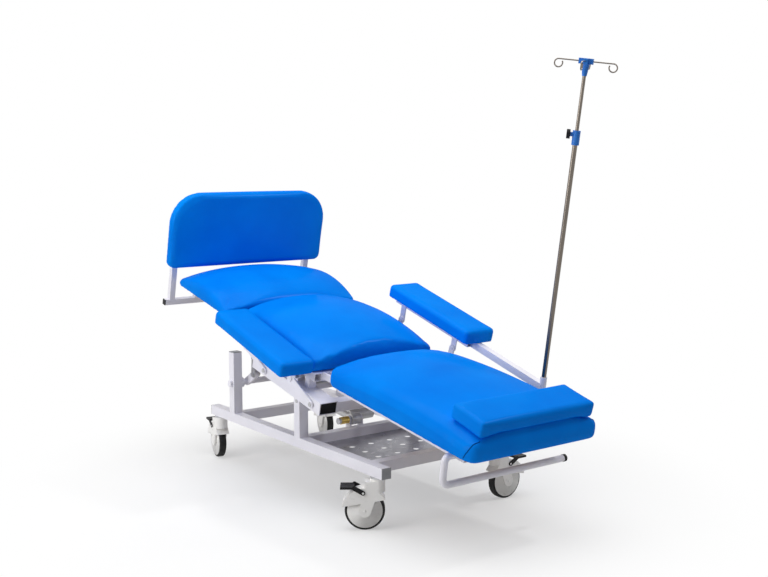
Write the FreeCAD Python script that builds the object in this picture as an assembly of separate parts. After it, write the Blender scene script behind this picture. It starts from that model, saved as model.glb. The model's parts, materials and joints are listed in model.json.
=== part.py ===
import FreeCAD, Part
import math
import os

V = FreeCAD.Vector
os.makedirs("parts", exist_ok=True)

# Frame of the chair: millimetres, Z up from the floor, X across, the foot end towards -Y.
# The seat group is drawn flat (x, u, w) and then tipped head-down; the back is hinged on it.

# Fits, the overrun of cutting tools, and a quarter turn in degrees
RUN = 0.05
GAP = 0.3
OPEN_GAP = 6.0
OVER = 1.0
QUARTER = 90.0

# Base frame of square tube
TUBE = 40.0
WALL = 2.0
RAIL_X = 286.0
RAIL_HALF = 630.0
RAIL_BOTTOM = 195.0
RAIL_TOP = RAIL_BOTTOM + TUBE
INNER_X = RAIL_X - TUBE / 2
OUTER_X = RAIL_X + TUBE / 2
HEAD_CROSS_Y = 535.0
HEAD_POST_Y = 74.5
FOOT_POST_Y = -444.0
FOOT_POST_TOP = 498.0
CAP_LIP = 3.0
CAP_PLUG = 12.0
TRAY_Z = 197.0
TRAY_SHEET = 2.0
TRAY_FLANGE = 20.0
TRAY_HOLE_R = 12.0
TRAY_HOLE_X = (-138.0, -46.0, 46.0, 138.0)
TRAY_HOLE_Y = (212.0, 298.0, 384.0)

# Tilt of the whole seat group on the head posts
SEAT_TILT = 12.8
TILT_Y = HEAD_POST_Y
TILT_Z = 380.0
TILT_PIN_R = 7.0
LUG_R = 13.0
LUG_HALF = 8.0
POST_TOP = 396.0

# Tilt lever shaft in the foot posts
SHAFT_Y = FOOT_POST_Y
SHAFT_Z = 364.0
SHAFT_R = 12.5
SHAFT_HEAD_R = 11.0
COLLAR_R = 22.0
LEVER_LEN = 80.0
LEVER_ANGLE = 31.7
LEVER_R = 16.0
LEVER_X = 228.0
LEVER_HALF = 7.0
LINK_LEN = 75.0
LINK_ANGLE = 84.7
LINK_R = 14.0
LINK_PLATE = 6.0
LINK_PIN_R = 6.0
CRANK_LEN = 60.0
CRANK_ANGLE = -71.0
CRANK_R = 20.0

# Tilt actuator on the base
ACT_Y = 33.0
ACT_Z = 258.0
ACT_EAR_X = 29.0
ACT_EAR = 8.0
ACT_PIN_R = 7.0
BUSH_R = 15.0
BUSH_END = 70.0
MOTOR_R = 24.0
MOTOR_IN = 45.0
MOTOR_OUT = 135.0
ROD_TUBE_R = 15.0
ROD_R = 10.0
GEAR_R = 24.0
FORK_REACH = 28.0
FORK_BLOCK = 12.0
TILT_STROKE = 38.0
TILT_PIN_DROP = 2.0
BACK_STROKE = 55.0
LEG_STROKE = 50.0
ROD_HELD = 60.0

# Seat frame, flat coordinates
BEAM_IN = 246.0
BEAM_OUT = 326.0
BEAM_LOW = 408.0
BEAM_TOP = 458.0
BEAM_WALL = 3.0
BEAM_FAR = -330.0
BEAM_NEAR = 176.0
CROSS_LOW = 410.0
CROSS_TOP = CROSS_LOW + TUBE
NEAR_CROSS_U = (132.0, 172.0)
MID_CROSS_U = (-80.0, -40.0)
FAR_CROSS_U = (-488.0, -448.0)
RISER_U = (-300.0, -60.0, 20.0)
SEAT_RAIL_IN = 258.0
SEAT_RAIL_OUT = 290.0
BAR = 32.0
RISER_LEN = 48.0
SEAT_RAIL_LOW = CROSS_TOP + RISER_LEN
SEAT_RAIL_TOP = SEAT_RAIL_LOW + BAR
SEAT_FAR = -535.0
SEAT_NEAR = 70.0
BOARD = 15.0
SEAT_HALF = 299.0
SEAT_SIDE = 86.0
SEAT_BOW = 34.0
SEAT_CROWN = 135.0
SEAT_END_R = 40.0

# Padding: rounding of the plan corners and the long shoulders, and the cover's lap around the board
PAD_PLAN_R = 45.0
PAD_SHOULDER_R = 32.0
PAD_LAP = 42.0
PAD_TRIM = 0.5
PAD_LIFT = 8.0
SLOPE_STEPS = 6

# Back section, hinged at the head end of the seat
BACK_U = 136.0
BACK_W = SEAT_RAIL_TOP
BACK_RAISE = 4.0
HINGE_PIN_R = 6.0
HINGE_EAR = 8.0
EAR_R = 13.0
BACK_RAIL_OUT = 241.7
BACK_RAIL_IN = BACK_RAIL_OUT - BAR
BACK_RAIL_P = (20.0, 760.0)
BACK_BAR_P = 30.0
BACK_BOARD_LOW = -10.0
BACK_RAIL_LOW = BACK_BOARD_LOW - BAR
BACK_PAD_P = (14.0, 858.0)
BACK_SIDE = 96.0
BACK_BOW = 24.0
BACK_CROWN = 136.0
BACK_END_R = 75.0
BACK_HALF = 299.0
BACK_ARM = 55.0
BACK_ARM_ANGLE = -120.5
BACK_ACT_X = -120.0
BACK_ACT_U = -407.0
BACK_ACT_DROP = 51.1
BACK_ACT_W = BACK_W - BACK_ACT_DROP
CUSHION_P = (686.0, 843.0)
CUSHION_Q = (74.0, 131.0)
CUSHION_HALF = 261.0
CUSHION_SLOPE = 7.4
CUSHION_SOFT = 9.0
ROLL_BAR_R = 12.5
ROLL_BAR_P = 722.0
ROLL_BAR_OUT = 292.0
ROLL_BAR_LOW = -130.0
ROLL_BAR_END = -275.0
ROLL_TOP_R = 20.0
ROLL_LOW_R = 30.0

# Leg section, hinged at the foot end of the seat
LEG_U = -549.0
LEG_DROP = 10.0
LEG_W = SEAT_RAIL_TOP - LEG_DROP
LEG_RAIL_DROP = 7.0
LEG_RAIL_LOW = LEG_W - LEG_RAIL_DROP
LEG_RAIL_U = (-955.0, -575.0)
LEG_BOARD_LOW = LEG_RAIL_LOW + BAR
LEG_PAD_U = (-1026.0, -562.0)
LEG_SIDE = 78.0
LEG_BOW = 52.0
LEG_CROWN = 114.0
LEG_END_R = 50.0
LEG_HALF = 347.0
LEG_ARM = 50.0
LEG_ARM_ANGLE = -120.0
LEG_ACT_X = 120.0
LEG_ACT_U = 30.0
LEG_ACT_DROP = 46.7
LEG_ACT_W = LEG_W - LEG_ACT_DROP
LEG_WALL = 2.9

# Foot frame that slides out of the leg rails
SLIDE_TUBE = 26.0
SLIDE_END = -700.0
FOOT_BAR = 25.0
FOOT_BAR_LOW = 440.0
FOOT_BAR_U = (-1057.0, -1032.0)
FOOT_BAR_HALF = 384.0
FOOT_INSET = 32.0
FOOT_UPRIGHT_X = FOOT_BAR_HALF - FOOT_INSET
FOOT_UPRIGHT_TOP = 800.0
FOOT_SOFT = 12.0
FOOT_PAD_U = (-1032.0, -988.0)
FOOT_PAD_W = (626.0, 968.0)
FOOT_HALF = 401.0
FOOT_TOP_R = 140.0
FOOT_LOW_R = 30.0

# Armrests on swing links, positions counted from the rear lug pin
ARM_BOLT_U = (121.0, -229.0)
ARM_BOLT_W = 433.0
ARM_LINK = 160.0
ARM_LINK_R = 14.0
ARM_LINK_X = 329.0
ARM_PLATE = 6.0
ARM_PIN_R = 6.0
ARM_TUBE = 25.0
ARM_TUBE_END = (-415.0, 75.0)
ARM_PAD_END = (-432.0, 102.0)
ARM_PAD_X = (300.5, 454.0)
ARM_PAD_LOW = 61.0
ARM_PAD_THICK = 57.0
ARM_PAD_SOFT = 16.0
ARM_SLOPE = 3.3
ARM_ANGLE_LEFT = 162.5
ARM_ANGLE_RIGHT = 86.4

# Drip pole on the right armrest carrier
POLE_ARM = 28.0
POLE_ARM_FAR = -259.0
POLE_ARM_LOW = 32.5
POLE_ALONG = 480.0
POLE_LEAN = 3.97
SOCKET_R = 13.0
SOCKET_LEN = 80.0
POLE_R = 9.0
POLE_BORE = 7.4
POLE_TOP_R = 6.5
POLE_LOW_LEN = 944.0
POLE_SHOWN = 264.0
POLE_HELD = 324.0
POLE_TOP_END = POLE_LOW_LEN + POLE_SHOWN
POLE_IN = POLE_LOW_LEN - POLE_HELD
POLE_SPARE = 210.0
COLLAR_GRIP = 23.0
COLLAR_LOW = POLE_LOW_LEN - COLLAR_GRIP
COLLAR_LEN = 52.0
COLLAR_OUT_R = 14.0
BOSS_R = 8.0
BOSS_LEN = 8.0
KNOB_R = 17.0
KNOB_LEN = 13.0
KNOB_STEM_R = 4.0
KNOB_LOBES = 6
KNOB_NOTCH_R = 4.5
KNOB_NOTCH_OUT = 2.0
KNOB_TURN = -45.0
HUB_LEN = 42.0
HUB_R = 14.0
HUB_SKIRT = 2.0
HUB_CAP = 20.0
HUB_BAR = 17.0
HUB_REACH = 26.0
HOOK_R = 2.5
HOOK_REACH = 97.0
HOOK_LOOP = 14.5
HOOK_CURL = 300.0
HOOK_STEPS = 4
HOOK_COUNT = 4
HOOK_TURN = 35.0

# Casters
CASTER_INSET = 50.0
CASTER_Y = RAIL_HALF - CASTER_INSET
WHEEL_R = 72.5
TYRE = 9.0
TYRE_HALF = 15.0
HUB_HALF = 17.0
TRAIL = 46.0
HOOD_R = 84.0
HOOD_IN_R = 77.0
HOOD_HALF = 27.0
HOOD_IN_HALF = 20.0
AXLE_R = 6.0
STEM_R = 10.0
PEDAL_Y = 52.0
PEDAL_Z = 140.0
PEDAL_END = 134.0
PEDAL_LEN = 50.0
PEDAL_RISE = 14.0
PEDAL_THICK = 8.0
PEDAL_EAR = 4.0
PEDAL_PIN_R = 4.0
FORK_LEG_R = 22.0
HOOD_BASE = 140.0
STEM_LOW = 158.0
STEM_FLANGE = 189.0
BRIDGE_DROP = 8.0
TYRE_ROUND = 6.0
HOOD_CUT = ((-60.0, 120.0), (150.0, 85.0), (150.0, -20.0), (-60.0, -20.0))
HEADINGS = {
    "near_left": (0.794, -0.596),
    "far_left": (-0.21, -0.975),
    "near_right": (-1.0, 0.0),
    "far_right": (-0.21, -0.975),
}

nodes = {}


# Shape helpers
def box(x0, x1, y0, y1, z0, z1):
    return Part.makeBox(x1 - x0, y1 - y0, z1 - z0, V(x0, y0, z0))


def tube(x0, x1, y0, y1, z0, z1, along, wall=WALL):
    low = [x0 + wall, y0 + wall, z0 + wall]
    high = [x1 - wall, y1 - wall, z1 - wall]
    low[along] -= 2 * wall
    high[along] += 2 * wall
    return box(x0, x1, y0, y1, z0, z1).cut(box(low[0], high[0], low[1], high[1], low[2], high[2]))


def rod_x(y, z, radius, x0, x1):
    return Part.makeCylinder(radius, x1 - x0, V(x0, y, z), V(1, 0, 0))


def rod_z(x, y, radius, z0, z1):
    return Part.makeCylinder(radius, z1 - z0, V(x, y, z0), V(0, 0, 1))


def along(start, angle, distance):
    turn_by = math.radians(angle)
    return (start[0] + distance * math.cos(turn_by), start[1] + distance * math.sin(turn_by))


def spin(shape, pivot, degrees):
    turned = shape.copy()
    turned.rotate(V(0, pivot[0], pivot[1]), V(1, 0, 0), degrees)
    return turned


def slab(points, x0, x1):
    loop = [V(x0, y, z) for y, z in points]
    loop.append(loop[0])
    return Part.Face(Part.makePolygon(loop)).extrude(V(x1 - x0, 0, 0))


def link(a, b, radius, x0, x1):
    span = math.hypot(b[0] - a[0], b[1] - a[1])
    bar = box(x0, x1, a[0], a[0] + span, a[1] - radius, a[1] + radius)
    bar = spin(bar, a, math.degrees(math.atan2(b[1] - a[1], b[0] - a[0])))
    ends = [rod_x(a[0], a[1], radius, x0, x1), rod_x(b[0], b[1], radius, x0, x1)]
    return bar.multiFuse(ends).removeSplitter()


def both_sides(shape):
    return [shape, shape.mirror(V(0, 0, 0), V(1, 0, 0))]


def flat(y, z):
    tip = math.radians(SEAT_TILT)
    return (y * math.cos(tip) - z * math.sin(tip), y * math.sin(tip) + z * math.cos(tip))


def seat(shape):
    return spin(shape, (0.0, 0.0), -SEAT_TILT)


def back(shape):
    moved = shape.copy()
    moved.translate(V(0, BACK_U, BACK_W))
    return seat(spin(moved, (BACK_U, BACK_W), BACK_RAISE))


def keep(name, *shapes):
    nodes[name] = list(shapes)


# Outline of a pad from one side: flat bottom, upright edges, rounded shoulders and an arched top
def pad_outline(place, half, low, shoulder, crown, radius):
    slope = 0.0
    for step in range(SLOPE_STEPS):
        reach = half - radius + radius * math.sin(slope)
        slope = 2 * math.atan((crown - shoulder + radius * (1 - math.cos(slope))) / reach)
    centre = low + shoulder - radius

    def on_shoulder(turned):
        return (half - radius + radius * math.sin(turned), centre + radius * math.cos(turned))

    outline = [(half, low), (half, centre), on_shoulder((slope + math.pi / 2) / 2), on_shoulder(slope)]
    r = [place(a, w) for a, w in outline]
    m = [place(-a, w) for a, w in outline]
    return Part.Face(Part.Wire([
        Part.makeLine(m[0], r[0]),
        Part.makeLine(r[0], r[1]),
        Part.Arc(r[1], r[2], r[3]).toShape(),
        Part.Arc(r[3], place(0, low + crown), m[3]).toShape(),
        Part.Arc(m[3], m[2], m[1]).toShape(),
        Part.makeLine(m[1], m[0]),
    ]))


# A stuffed pad: arched across, bowed along, with rounded ends and rounded corners in plan
def pillow(half, u0, u1, low, side, bow, crown, end_r):
    middle = (u0 + u1) / 2
    reach = (u1 - u0) / 2
    wide = half + PAD_TRIM
    under = bow + PAD_LIFT
    radius = (reach ** 2 / bow + bow) / 2
    axis = V(0, middle, low + crown - radius)
    turn = math.degrees(math.asin((reach + PAD_LIFT) / radius))
    section = pad_outline(lambda a, w: V(a, middle, w), half, low - under, side + under, crown + under,
                          PAD_SHOULDER_R)
    section.rotate(axis, V(1, 0, 0), -turn)
    across = section.revolve(axis, V(1, 0, 0), 2 * turn)
    ends = pad_outline(lambda a, w: V(-wide, middle + a, w), reach, low - PAD_TRIM,
                       crown - bow + PAD_LIFT, crown + 2 * PAD_LIFT, end_r)
    ends = ends.extrude(V(2 * wide, 0, 0))
    plan = box(-wide, wide, u0 - PAD_TRIM, u1 + PAD_TRIM, low, low + crown + BOARD)
    plan = plan.makeFillet(PAD_PLAN_R, [e for e in plan.Edges if e.BoundBox.ZLength > BOARD])
    return across.common(ends).common(plan)


# A padded panel: the board lies in the underside of its padding
def padded_panel(half, u0, u1, low, *form):
    board = box(-half + PAD_LAP, half - PAD_LAP, u0 + PAD_LAP, u1 - PAD_LAP, low, low + BOARD)
    return board, pillow(half, u0, u1, low, *form).cut(board)


# Base frame
def stem_bore(x, y):
    return rod_z(x, y, STEM_R + RUN, RAIL_BOTTOM - OVER, RAIL_BOTTOM + WALL + OVER)


rails = []
for rail in both_sides(tube(INNER_X, OUTER_X, -RAIL_HALF, RAIL_HALF, RAIL_BOTTOM, RAIL_TOP, 1)):
    side = RAIL_X if rail.BoundBox.XMin > 0 else -RAIL_X
    rails.append(rail.cut(stem_bore(side, CASTER_Y)).cut(stem_bore(side, -CASTER_Y)))
keep("base_rails", *rails)


def cross_tube(y):
    return tube(-INNER_X, INNER_X, y - TUBE / 2, y + TUBE / 2, RAIL_BOTTOM, RAIL_TOP, 0)


ear = box(ACT_EAR_X - ACT_EAR / 2, ACT_EAR_X + ACT_EAR / 2,
          ACT_Y - BUSH_R, HEAD_POST_Y - TUBE / 2, RAIL_BOTTOM + WALL, RAIL_TOP)
ear = ear.fuse(link((ACT_Y, RAIL_BOTTOM + TUBE / 2), (ACT_Y, ACT_Z), BUSH_R,
                    ACT_EAR_X - ACT_EAR / 2, ACT_EAR_X + ACT_EAR / 2)).removeSplitter()
ear = ear.cut(rod_x(ACT_Y, ACT_Z, ACT_PIN_R, 0, BEAM_IN))
keep("base_cross_tubes", cross_tube(HEAD_CROSS_Y), cross_tube(HEAD_POST_Y), cross_tube(FOOT_POST_Y),
     *both_sides(ear))


def post(y, top):
    return tube(INNER_X, OUTER_X, y - TUBE / 2, y + TUBE / 2, RAIL_TOP, top, 2)


head_post = post(HEAD_POST_Y, POST_TOP)
head_post = head_post.cut(rod_x(TILT_Y, TILT_Z, TILT_PIN_R, INNER_X - OVER, OUTER_X + OVER))
foot_post = post(FOOT_POST_Y, FOOT_POST_TOP)
foot_post = foot_post.cut(rod_x(SHAFT_Y, SHAFT_Z, SHAFT_R + RUN, INNER_X - OVER, OUTER_X + OVER))
keep("base_posts", *both_sides(head_post), *both_sides(foot_post))


def end_cap(y, outward):
    inside = TUBE / 2 - WALL
    lip = sorted((y, y + outward * CAP_LIP))
    plug = sorted((y, y - outward * CAP_PLUG))
    middle = RAIL_BOTTOM + TUBE / 2
    cap = box(INNER_X, OUTER_X, lip[0], lip[1], RAIL_BOTTOM, RAIL_TOP)
    return cap.fuse(box(RAIL_X - inside, RAIL_X + inside, plug[0], plug[1],
                        middle - inside, middle + inside))


half_in = TUBE / 2 - WALL
post_cap = box(INNER_X, OUTER_X, FOOT_POST_Y - TUBE / 2, FOOT_POST_Y + TUBE / 2,
               FOOT_POST_TOP, FOOT_POST_TOP + CAP_LIP)
post_cap = post_cap.fuse(box(RAIL_X - half_in, RAIL_X + half_in,
                             FOOT_POST_Y - half_in, FOOT_POST_Y + half_in,
                             FOOT_POST_TOP - CAP_PLUG, FOOT_POST_TOP))
keep("base_caps", *both_sides(end_cap(RAIL_HALF, 1)), *both_sides(end_cap(-RAIL_HALF, -1)),
     *both_sides(post_cap))

# Perforated tray between the middle and head cross tubes
tray_y = (HEAD_POST_Y + TUBE / 2, HEAD_CROSS_Y - TUBE / 2)
tray = box(-INNER_X, INNER_X, tray_y[0], tray_y[1], TRAY_Z, TRAY_Z + TRAY_SHEET)
flange = box(INNER_X - TRAY_SHEET, INNER_X, tray_y[0], tray_y[1], TRAY_Z, TRAY_Z + TRAY_FLANGE)
for side in both_sides(flange):
    tray = tray.fuse(side)
for x in TRAY_HOLE_X:
    for y in TRAY_HOLE_Y:
        tray = tray.cut(rod_z(x, y, TRAY_HOLE_R, TRAY_Z - OVER, TRAY_Z + TRAY_SHEET + OVER))
keep("tray", tray.removeSplitter())

# Pins fixed in the base: two tilt pins and the actuator pin with its brass bush
tilt_pin = rod_x(TILT_Y, TILT_Z, TILT_PIN_R, INNER_X - CAP_LIP, OUTER_X + CAP_LIP)
act_pin = rod_x(ACT_Y, ACT_Z, ACT_PIN_R, -ACT_EAR_X - CAP_PLUG, BUSH_END + CAP_PLUG)
act_pin = act_pin.fuse(rod_x(ACT_Y, ACT_Z, BUSH_R - WALL, BUSH_END, BUSH_END + CAP_PLUG))
keep("base_pins", *both_sides(tilt_pin), act_pin)
bush = rod_x(ACT_Y, ACT_Z, BUSH_R, ACT_EAR_X + ACT_EAR / 2, BUSH_END)
keep("actuator_bush", bush.cut(rod_x(ACT_Y, ACT_Z, ACT_PIN_R, 0, BUSH_END + OVER)))

# Lever shaft through the foot posts
shaft_at = (SHAFT_Y, SHAFT_Z)
lever_end = along(shaft_at, LEVER_ANGLE, LEVER_LEN)
crank_end = along(shaft_at, CRANK_ANGLE, CRANK_LEN)
link_end = along(lever_end, LINK_ANGLE, LINK_LEN)
shaft = rod_x(SHAFT_Y, SHAFT_Z, SHAFT_R, -OUTER_X - GAP, OUTER_X + GAP)
for side in both_sides(rod_x(SHAFT_Y, SHAFT_Z, SHAFT_HEAD_R + CAP_LIP, OUTER_X + GAP, OUTER_X + CAP_PLUG)):
    shaft = shaft.fuse(side)
for side in both_sides(rod_x(SHAFT_Y, SHAFT_Z, COLLAR_R, INNER_X - CAP_PLUG, INNER_X - GAP)):
    shaft = shaft.fuse(side)
lever = link(shaft_at, lever_end, LEVER_R, LEVER_X - LEVER_HALF, LEVER_X + LEVER_HALF)
lever = lever.cut(rod_x(lever_end[0], lever_end[1], LINK_PIN_R + RUN, 0, BEAM_OUT))
crank = link(shaft_at, crank_end, CRANK_R, -LEVER_HALF, LEVER_HALF)
crank = crank.cut(rod_x(crank_end[0], crank_end[1], LINK_PIN_R + OPEN_GAP, -BEAM_OUT, BEAM_OUT))
for arm in both_sides(lever) + [crank]:
    shaft = shaft.fuse(arm)
keep("tilt_lever_shaft", shaft.removeSplitter())

# Link plates from the levers up to the seat frame
plate_in = LEVER_X - LEVER_HALF - GAP - LINK_PLATE
plate_out = LEVER_X + LEVER_HALF + GAP
plates = []
pins = []
for x in (plate_in, plate_out):
    strip = link(lever_end, link_end, LINK_R, x, x + LINK_PLATE)
    for at in (lever_end, link_end):
        strip = strip.cut(rod_x(at[0], at[1], LINK_PIN_R, 0, BEAM_OUT))
    plates += both_sides(strip)
for at in (lever_end, link_end):
    pin = rod_x(at[0], at[1], LINK_PIN_R, plate_in - LINK_PIN_R, plate_out + LINK_PLATE + LINK_PIN_R)
    for x in (plate_in - LINK_PIN_R, plate_out + LINK_PLATE):
        pin = pin.fuse(rod_x(at[0], at[1], LINK_PIN_R + CAP_LIP, x, x + LINK_PIN_R))
    pins += both_sides(pin.removeSplitter())
keep("tilt_links", *plates, *pins)


# A linear actuator drawn from its rear pivot (a) to its rod pivot (b), in one upright plane
def actuator(a, b, x, stroke, motor_side):
    span = math.hypot(b[0] - a[0], b[1] - a[1])
    slope = math.degrees(math.atan2(b[1] - a[1], b[0] - a[0]))
    nose = span - stroke - FORK_REACH - FORK_BLOCK - CAP_PLUG
    held = nose - stroke - ROD_HELD
    head = rod_x(0, 0, GEAR_R, x - GEAR_R + CAP_LIP, x + GEAR_R - CAP_LIP)
    barrel = Part.makeCylinder(ROD_TUBE_R, nose, V(x, 0, 0), V(0, 1, 0))
    motor_x = sorted((x, x + motor_side * (GEAR_R + MOTOR_OUT - MOTOR_IN)))
    motor = rod_x(BUSH_R + MOTOR_R + CAP_LIP, 0, MOTOR_R, motor_x[0], motor_x[1])
    body = head.multiFuse([barrel, motor])
    bore_start = held - CAP_PLUG - stroke
    bore = Part.makeCylinder(ROD_R + RUN, nose - bore_start, V(x, bore_start, 0), V(0, 1, 0))
    body = body.cut(bore).cut(rod_x(0, 0, ACT_PIN_R, x - GEAR_R, x + GEAR_R)).removeSplitter()
    slider = Part.makeCylinder(ROD_R, span - FORK_REACH - held, V(x, held, 0), V(0, 1, 0))
    half = LEVER_HALF + GAP
    block = span - FORK_REACH - FORK_BLOCK
    slider = slider.fuse(box(x - half - LINK_PLATE, x + half + LINK_PLATE,
                             block, block + FORK_BLOCK, -FORK_BLOCK, FORK_BLOCK))
    for side in (x - half - LINK_PLATE, x + half):
        slider = slider.fuse(link((block + FORK_BLOCK, 0), (span, 0), FORK_BLOCK, side, side + LINK_PLATE))
    slider = slider.fuse(rod_x(span, 0, LINK_PIN_R, x - half - LINK_PLATE, x + half + LINK_PLATE))
    placed = []
    for shape in (body, slider.removeSplitter()):
        shape.translate(V(0, a[0], a[1]))
        placed.append(spin(shape, a, slope))
    return placed


tilt_body, tilt_rod = actuator((ACT_Y, ACT_Z), (crank_end[0], crank_end[1] - TILT_PIN_DROP), 0.0,
                                TILT_STROKE, -1)
keep("tilt_actuator", tilt_body)
keep("tilt_rod", tilt_rod)

# Seat frame, drawn flat
lug_at = flat(TILT_Y, TILT_Z)
beam = tube(BEAM_IN, BEAM_OUT, BEAM_FAR, BEAM_NEAR, BEAM_LOW, BEAM_TOP, 1, BEAM_WALL)
for u in ARM_BOLT_U:
    beam = beam.cut(rod_x(u, ARM_BOLT_W, ARM_PIN_R, BEAM_IN + BEAM_WALL + OVER, BEAM_OUT + OVER))
lug = link(lug_at, (lug_at[0], BEAM_LOW - LUG_R), LUG_R, RAIL_X - LUG_HALF, RAIL_X + LUG_HALF)
lug = lug.fuse(box(RAIL_X - LUG_HALF, RAIL_X + LUG_HALF, lug_at[0] - LUG_R, lug_at[0] + LUG_R,
                   BEAM_LOW - LUG_R, BEAM_LOW)).removeSplitter()
lug = lug.cut(rod_x(lug_at[0], lug_at[1], TILT_PIN_R + RUN, INNER_X, OUTER_X))
keep("seat_beams", *[seat(b) for b in both_sides(beam) + both_sides(lug)])


def beam_cap(u, outward):
    inset = sorted((u - outward * CAP_LIP, u - outward * (CAP_LIP + CAP_PLUG)))
    return box(BEAM_IN + BEAM_WALL, BEAM_OUT - BEAM_WALL, inset[0], inset[1],
               BEAM_LOW + BEAM_WALL, BEAM_TOP - BEAM_WALL)


beam_caps = both_sides(beam_cap(BEAM_NEAR, 1)) + both_sides(beam_cap(BEAM_FAR, -1))
keep("beam_caps", *[seat(c) for c in beam_caps])

frame = []
for u0, u1 in (NEAR_CROSS_U, MID_CROSS_U, FAR_CROSS_U):
    frame.append(tube(-BEAM_IN, BEAM_IN, u0, u1, CROSS_LOW, CROSS_TOP, 0))
for u in RISER_U:
    frame += both_sides(box(SEAT_RAIL_IN, SEAT_RAIL_OUT, u - BAR / 2, u + BAR / 2, BEAM_TOP, SEAT_RAIL_LOW))
seat_rail = tube(SEAT_RAIL_IN, SEAT_RAIL_OUT, SEAT_FAR, SEAT_NEAR - CAP_LIP,
                 SEAT_RAIL_LOW, SEAT_RAIL_TOP, 1)
frame += both_sides(seat_rail)
near_bar = (SEAT_NEAR - CAP_LIP - BAR, SEAT_NEAR - CAP_LIP)
far_bar = (FAR_CROSS_U[0], FAR_CROSS_U[0] + BAR)
for u0, u1 in (near_bar, far_bar):
    frame.append(tube(-SEAT_RAIL_IN, SEAT_RAIL_IN, u0, u1, SEAT_RAIL_LOW, SEAT_RAIL_TOP, 0))
frame += both_sides(box(LEVER_X - BAR, LEVER_X, far_bar[0], far_bar[1], CROSS_TOP, SEAT_RAIL_LOW))

# Ears welded to it: back hinge, leg hinge, tilt links and the two actuators
ears = []
back_ear = link((near_bar[0], BACK_W - EAR_R), (BACK_U, BACK_W), EAR_R,
                SEAT_RAIL_IN - HINGE_EAR, SEAT_RAIL_IN)
back_ear = back_ear.cut(rod_x(BACK_U, BACK_W, HINGE_PIN_R, 0, BEAM_OUT))
leg_ear = link((far_bar[0], LEG_W - EAR_R / 2), (LEG_U, LEG_W), EAR_R / 2 + CAP_LIP,
               SEAT_RAIL_IN - HINGE_EAR, SEAT_RAIL_IN)
leg_ear = leg_ear.cut(rod_x(LEG_U, LEG_W, HINGE_PIN_R, 0, BEAM_OUT))
near_clear = box(-BEAM_OUT, BEAM_OUT, near_bar[0] - BAR, near_bar[1], SEAT_RAIL_LOW, SEAT_RAIL_TOP)
pad_space = box(-BEAM_OUT, BEAM_OUT, near_bar[0] - BAR, SEAT_NEAR + GAP,
                SEAT_RAIL_TOP, SEAT_RAIL_TOP + SEAT_CROWN)
near_clear = near_clear.fuse(pad_space)
far_clear = box(-BEAM_OUT, BEAM_OUT, far_bar[0], far_bar[1] + BAR, SEAT_RAIL_LOW, SEAT_RAIL_TOP)
ears += both_sides(back_ear.cut(near_clear)) + both_sides(leg_ear.cut(far_clear))
link_flat = flat(link_end[0], link_end[1])
link_ear = link(link_flat, (link_flat[0], CROSS_LOW - EAR_R), CRANK_R,
                LEVER_X - LEVER_HALF, LEVER_X + LEVER_HALF)
link_ear = link_ear.cut(box(0, BEAM_OUT, SEAT_FAR, 0, CROSS_LOW, CROSS_TOP))
link_ear = link_ear.cut(rod_x(link_flat[0], link_flat[1], LINK_PIN_R + OPEN_GAP, 0, BEAM_OUT))
ears += both_sides(link_ear)
for side in (-1, 1):
    x = BACK_ACT_X + side * (GEAR_R + ACT_EAR / 2)
    ear = box(x - ACT_EAR / 2, x + ACT_EAR / 2, FAR_CROSS_U[1], BACK_ACT_U, CROSS_LOW, BACK_ACT_W + BUSH_R)
    ear = ear.fuse(rod_x(BACK_ACT_U, BACK_ACT_W, BUSH_R, x - ACT_EAR / 2, x + ACT_EAR / 2))
    ears.append(ear.cut(rod_x(BACK_ACT_U, BACK_ACT_W, ACT_PIN_R, -BEAM_OUT, BEAM_OUT)).removeSplitter())
    x = LEG_ACT_X + side * (GEAR_R + ACT_EAR / 2)
    ear = box(x - ACT_EAR / 2, x + ACT_EAR / 2, LEG_ACT_U, NEAR_CROSS_U[0], CROSS_LOW, LEG_ACT_W)
    ear = ear.fuse(rod_x(LEG_ACT_U, LEG_ACT_W, BUSH_R, x - ACT_EAR / 2, x + ACT_EAR / 2))
    ears.append(ear.cut(rod_x(LEG_ACT_U, LEG_ACT_W, ACT_PIN_R, -BEAM_OUT, BEAM_OUT)).removeSplitter())
keep("seat_subframe", *[seat(f) for f in frame + ears])

seat_pins = both_sides(rod_x(BACK_U, BACK_W, HINGE_PIN_R, BACK_RAIL_OUT - CAP_LIP, SEAT_RAIL_IN + CAP_LIP))
seat_pins += both_sides(rod_x(LEG_U, LEG_W, HINGE_PIN_R, BACK_RAIL_OUT - CAP_LIP, SEAT_RAIL_IN + CAP_LIP))
for x, u, w in ((BACK_ACT_X, BACK_ACT_U, BACK_ACT_W), (LEG_ACT_X, LEG_ACT_U, LEG_ACT_W)):
    reach = GEAR_R + ACT_EAR + CAP_LIP
    seat_pins.append(rod_x(u, w, ACT_PIN_R, x - reach, x + reach))
for u in ARM_BOLT_U:
    bolt = rod_x(u, ARM_BOLT_W, ARM_PIN_R, BEAM_OUT - BEAM_WALL - CAP_PLUG,
                 ARM_LINK_X + ARM_PLATE + CAP_LIP)
    bolt = bolt.fuse(rod_x(u, ARM_BOLT_W, ARM_PIN_R + LINK_PIN_R, BEAM_OUT, ARM_LINK_X - GAP))
    bolt = bolt.fuse(rod_x(u, ARM_BOLT_W, ARM_PIN_R + CAP_LIP, ARM_LINK_X + ARM_PLATE + GAP,
                           ARM_LINK_X + ARM_PLATE + CAP_LIP))
    seat_pins += both_sides(bolt.removeSplitter())
keep("seat_pins", *[seat(p) for p in seat_pins])
seat_board, seat_pad = padded_panel(SEAT_HALF, SEAT_FAR, SEAT_NEAR, SEAT_RAIL_TOP,
                                    SEAT_SIDE, SEAT_BOW, SEAT_CROWN, SEAT_END_R)
keep("seat_board", seat(seat_board))
keep("seat_pad", seat(seat_pad))

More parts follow.
